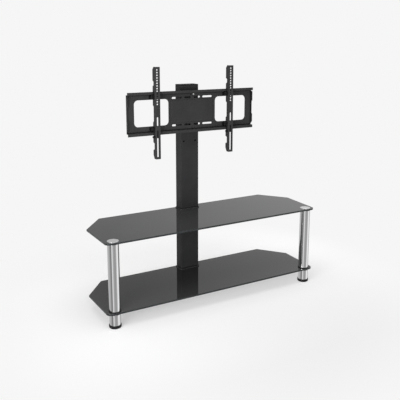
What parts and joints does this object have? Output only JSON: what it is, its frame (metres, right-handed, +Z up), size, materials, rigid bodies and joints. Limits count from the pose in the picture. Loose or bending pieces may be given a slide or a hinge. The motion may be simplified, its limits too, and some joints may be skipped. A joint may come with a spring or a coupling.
{
  "type": "tv stand with mount",
  "caption": "Glass television stand: tinted shelves on polished tube legs and a rear steel column that carries a hook-on plate mount with sliding slotted rails.",
  "frame": {"origin": "on the floor, under the middle of the glass shelves", "axes": "+X to the right along the width, +Y to the back where the column stands, +Z up"},
  "size_m": [1.1418, 0.369, 1.118],
  "materials": {
    "glass": "dark tinted safety glass, polished edges",
    "disc": "satin disc",
    "chrome": "polished tube",
    "zinc": "zinc plated",
    "plastic": "black moulded",
    "column_paint": "satin black powder coat",
    "mount_paint": "satin black powder coat",
    "dark_steel": "black oxide fasteners",
    "vial": "clear domed level"
  },
  "bodies": {
    "stand": {"top_shelf": "glass", "lower_shelf": "glass", "leg_cap_disc_left": "disc", "leg_cap_disc_right": "disc", "leg_top_plug_left": "plastic", "leg_top_plug_right": "plastic", "leg_upper_tube_left": "chrome", "leg_upper_tube_right": "chrome", "leg_tie_rod_left": "zinc", "leg_tie_rod_right": "zinc", "leg_collar_ring_left": "plastic", "leg_collar_ring_right": "plastic", "leg_under_washer_left": "plastic", "leg_under_washer_right": "plastic", "leg_lower_tube_left": "chrome", "leg_lower_tube_right": "chrome", "leg_base_plug_left": "plastic", "leg_base_plug_right": "plastic", "column_base_section": "column_paint", "column_middle_section": "column_paint", "column_upper_section": "column_paint", "column_top_cap": "plastic", "collar_under_lower_shelf": "plastic", "collar_over_lower_shelf": "plastic", "collar_under_top_shelf": "plastic", "collar_over_top_shelf": "plastic", "column_tie_rod_left": "zinc", "column_tie_rod_right": "zinc", "cable_grommet_upper": "plastic", "cable_grommet_lower": "plastic", "rear_base_plate": "column_paint"},
    "front_foot_left": {"front_foot_cup_left": "plastic"},
    "front_foot_right": {"front_foot_cup_right": "plastic"},
    "front_stud_left": {"front_foot_stud_left": "zinc"},
    "front_stud_right": {"front_foot_stud_right": "zinc"},
    "rear_foot_left": {"rear_foot_pad_left": "plastic"},
    "rear_foot_right": {"rear_foot_pad_right": "plastic"},
    "rear_stud_left": {"rear_foot_stud_left": "zinc"},
    "rear_stud_right": {"rear_foot_stud_right": "zinc"},
    "mount": {"mount_plate": "mount_paint", "mount_carriage": "mount_paint", "clamp_plate": "dark_steel", "clamp_bolt_upper_left": "dark_steel", "clamp_bolt_upper_right": "dark_steel", "clamp_bolt_lower_left": "dark_steel", "clamp_bolt_lower_right": "dark_steel", "bubble_level": "vial"},
    "rail_left": {"tv_rail_left": "mount_paint", "upper_guide_left": "plastic", "lower_guide_left": "plastic", "safety_latch_left": "plastic"},
    "rail_right": {"tv_rail_right": "mount_paint", "upper_guide_right": "plastic", "lower_guide_right": "plastic", "safety_latch_right": "plastic"}
  },
  "joints": [
    {"name": "mount_height", "type": "slide", "parent": "stand", "child": "mount", "axis": [0, 0, 1], "range_m": [-0.08, 0]},
    {"name": "rail_slide_left", "type": "slide", "parent": "mount", "child": "rail_left", "axis": [1, 0, 0], "range_m": [-0.113, 0.113]},
    {"name": "rail_slide_right", "type": "slide", "parent": "mount", "child": "rail_right", "axis": [1, 0, 0], "range_m": [-0.113, 0.113]},
    {"name": "front_foot_lift_left", "type": "slide", "parent": "stand", "child": "front_foot_left", "axis": [0, 0, 1], "range_m": [-0.008, 0]},
    {"name": "front_foot_turn_left", "type": "hinge", "parent": "front_foot_left", "child": "front_stud_left", "pos_m": [-0.523, -0.1565, 0.01], "axis": [0, 0, 1], "range_deg": [-2305, 0]},
    {"name": "front_foot_lift_right", "type": "slide", "parent": "stand", "child": "front_foot_right", "axis": [0, 0, 1], "range_m": [-0.008, 0]},
    {"name": "front_foot_turn_right", "type": "hinge", "parent": "front_foot_right", "child": "front_stud_right", "pos_m": [0.523, -0.1565, 0.01], "axis": [0, 0, 1], "range_deg": [-2305, 0]},
    {"name": "rear_foot_lift_left", "type": "slide", "parent": "stand", "child": "rear_foot_left", "axis": [0, 0, 1], "range_m": [-0.008, 0]},
    {"name": "rear_foot_turn_left", "type": "hinge", "parent": "rear_foot_left", "child": "rear_stud_left", "pos_m": [-0.112, 0.14875, 0.01], "axis": [0, 0, 1], "range_deg": [-2305, 0]},
    {"name": "rear_foot_lift_right", "type": "slide", "parent": "stand", "child": "rear_foot_right", "axis": [0, 0, 1], "range_m": [-0.008, 0]},
    {"name": "rear_foot_turn_right", "type": "hinge", "parent": "rear_foot_right", "child": "rear_stud_right", "pos_m": [0.112, 0.14875, 0.01], "axis": [0, 0, 1], "range_deg": [-2305, 0]}
  ],
  "couplings": [
    {"joint": "front_foot_turn_left", "follows": "front_foot_lift_left", "rad_per_m": 5026.5},
    {"joint": "front_foot_turn_right", "follows": "front_foot_lift_right", "rad_per_m": 5026.5},
    {"joint": "rear_foot_turn_left", "follows": "rear_foot_lift_left", "rad_per_m": 5026.5},
    {"joint": "rear_foot_turn_right", "follows": "rear_foot_lift_right", "rad_per_m": 5026.5}
  ]
}
